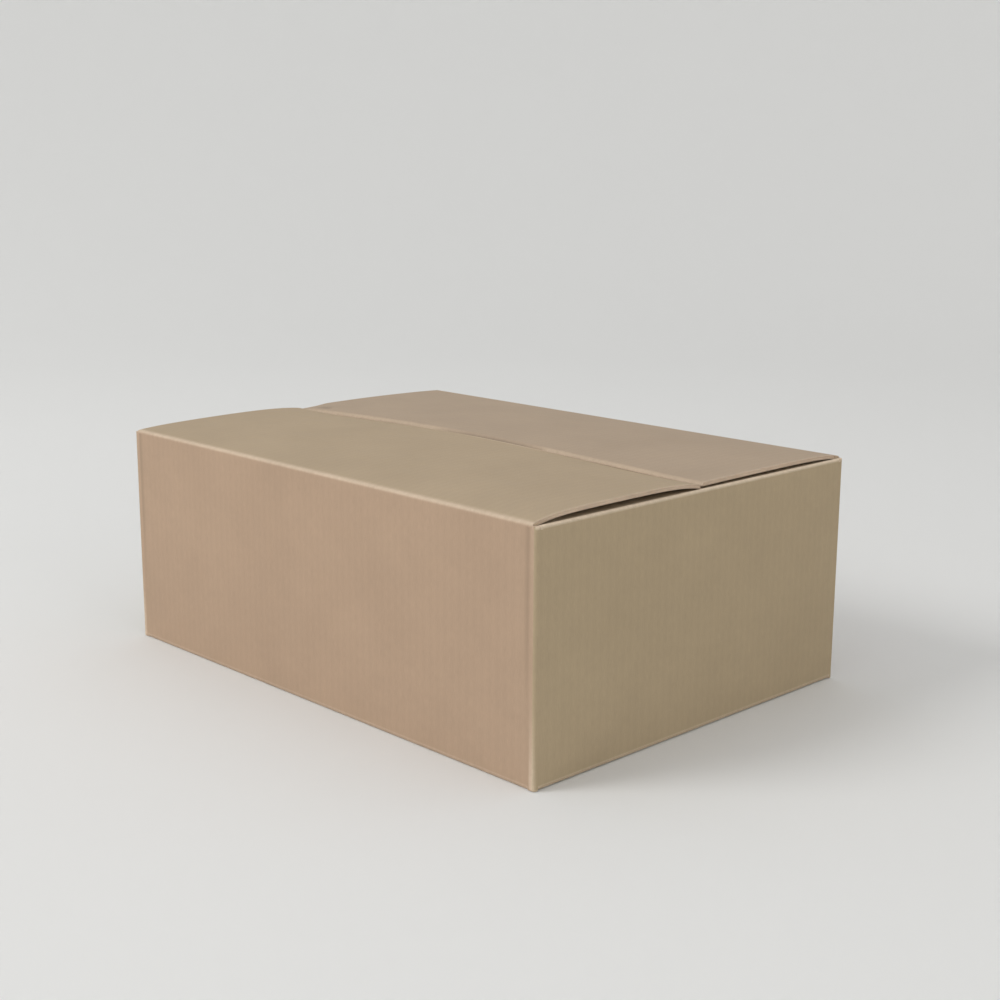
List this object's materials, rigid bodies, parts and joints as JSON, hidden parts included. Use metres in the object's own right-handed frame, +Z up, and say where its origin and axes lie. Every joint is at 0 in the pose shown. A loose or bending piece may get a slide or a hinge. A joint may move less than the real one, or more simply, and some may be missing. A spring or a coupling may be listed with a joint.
{
  "type": "corrugated cardboard box",
  "caption": "Closed corrugated shipping carton, a regular slotted case whose hinged outer top flaps meet at a seam along the middle.",
  "frame": {"origin": "on the floor under the middle of the box", "axes": "+X along the long front and back walls, +Y from the front wall to the back wall, +Z up; the front wall faces -Y"},
  "size_m": [0.42, 0.3, 0.1661],
  "materials": {
    "corrugated_board": "matt brown kraft paper over corrugated board"
  },
  "bodies": {
    "carton": {"carton": "corrugated_board"},
    "front_top_flap": {"front_top_flap": "corrugated_board"},
    "back_top_flap": {"back_top_flap": "corrugated_board"}
  },
  "joints": [
    {"name": "front_flap_crease", "type": "hinge", "parent": "carton", "child": "front_top_flap", "pos_m": [0, -0.15, 0.16], "axis": [1, 0, 0], "range_deg": [0, 240]},
    {"name": "back_flap_crease", "type": "hinge", "parent": "carton", "child": "back_top_flap", "pos_m": [0, 0.15, 0.16], "axis": [-1, 0, 0], "range_deg": [0, 240]}
  ]
}
